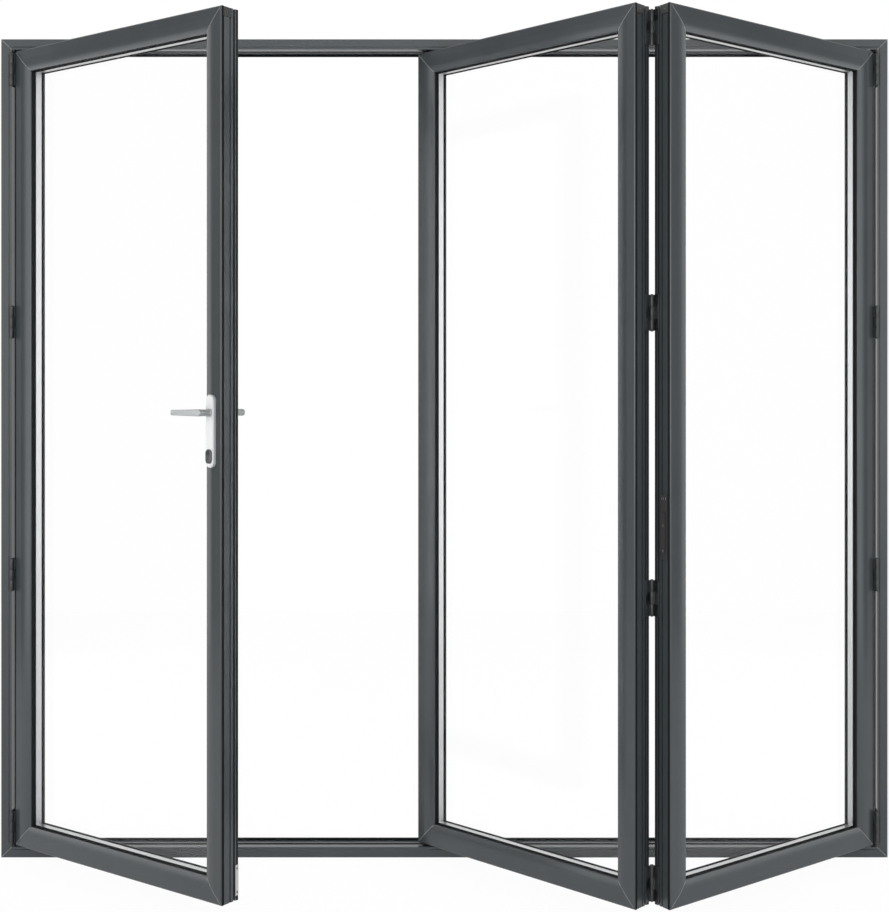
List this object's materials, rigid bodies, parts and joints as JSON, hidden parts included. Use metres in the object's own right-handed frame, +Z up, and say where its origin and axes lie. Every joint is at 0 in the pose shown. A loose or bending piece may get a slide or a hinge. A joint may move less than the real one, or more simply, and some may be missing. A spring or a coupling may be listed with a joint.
{
  "type": "aluminium bifold door set",
  "caption": "Outward-folding glazed aluminium bifold door in its outer frame, with a lever-handled traffic door and a hinged pair folded half open on its track.",
  "frame": {"origin": "middle of the sill's underside, halfway through the frame's depth", "axes": "+X along the opening, to the right seen from outside; +Y indoors; +Z up"},
  "size_m": [2.275, 0.5206, 2.1],
  "materials": {
    "powder_coat": "satin anthracite grey powder coat on extruded aluminium",
    "clear_glass": "clear float glass",
    "black_rubber": "matt black extruded gasket",
    "black_nylon": "moulded black nylon",
    "spacer_bar": "mill-finished aluminium spacer bar",
    "black_hardware": "satin brown-black coated hinge metal",
    "steel": "bright stainless steel",
    "dark_steel": "dark satin nickel",
    "satin_silver": "satin silver anodised aluminium"
  },
  "bodies": {
    "frame": {"sill": "powder_coat", "head": "powder_coat", "left_jamb": "powder_coat", "right_jamb": "powder_coat", "frame_seals": "black_rubber", "track_liners": "black_nylon", "left_jamb_hinges": "black_hardware", "right_jamb_hinges": "black_hardware", "right_leaf_hinges": "black_hardware", "middle_stiles": "powder_coat", "middle_rails": "powder_coat", "middle_panes": "clear_glass", "middle_glazing_seals": "black_rubber", "middle_beads": "powder_coat", "right_stiles": "powder_coat", "right_rails": "powder_coat", "right_panes": "clear_glass", "right_glazing_seals": "black_rubber", "right_beads": "powder_coat", "folding_spacers": "spacer_bar", "folding_edge_seals": "black_rubber", "fold_hinges_right": "black_hardware", "fold_hinges_middle": "black_hardware", "guide_brackets": "steel", "guide_carriages": "black_nylon", "fold_bolt_plate": "black_hardware", "fold_bolt_lever": "black_hardware", "folding_edge_caps": "black_nylon"},
    "traffic_door": {"door_stiles": "powder_coat", "door_rails": "powder_coat", "door_panes": "clear_glass", "door_glazing_seals": "black_rubber", "door_beads": "powder_coat", "door_spacer": "spacer_bar", "door_edge_seals": "black_rubber", "door_hinges": "black_hardware", "outside_backplate": "satin_silver", "inside_backplate": "satin_silver", "key_cylinder": "dark_steel", "door_edge_cap": "black_nylon", "door_catch_plate": "steel"},
    "lever": {"outside_lever": "satin_silver", "inside_lever": "satin_silver", "lever_spindle": "steel"}
  },
  "joints": [
    {"name": "traffic_door_hinge", "type": "hinge", "parent": "frame", "child": "traffic_door", "pos_m": [-1.109, -0.041, 1.05], "axis": [0, 0, -1], "range_deg": [-34, 56]},
    {"name": "lever_turn", "type": "hinge", "parent": "traffic_door", "child": "lever", "pos_m": [-0.49421, -0.44482, 1.147], "axis": [-0.5592, -0.829, 0], "range_deg": [0, 40], "stiffness_Nm_per_rad": 1, "springref_deg": -20.05}
  ]
}
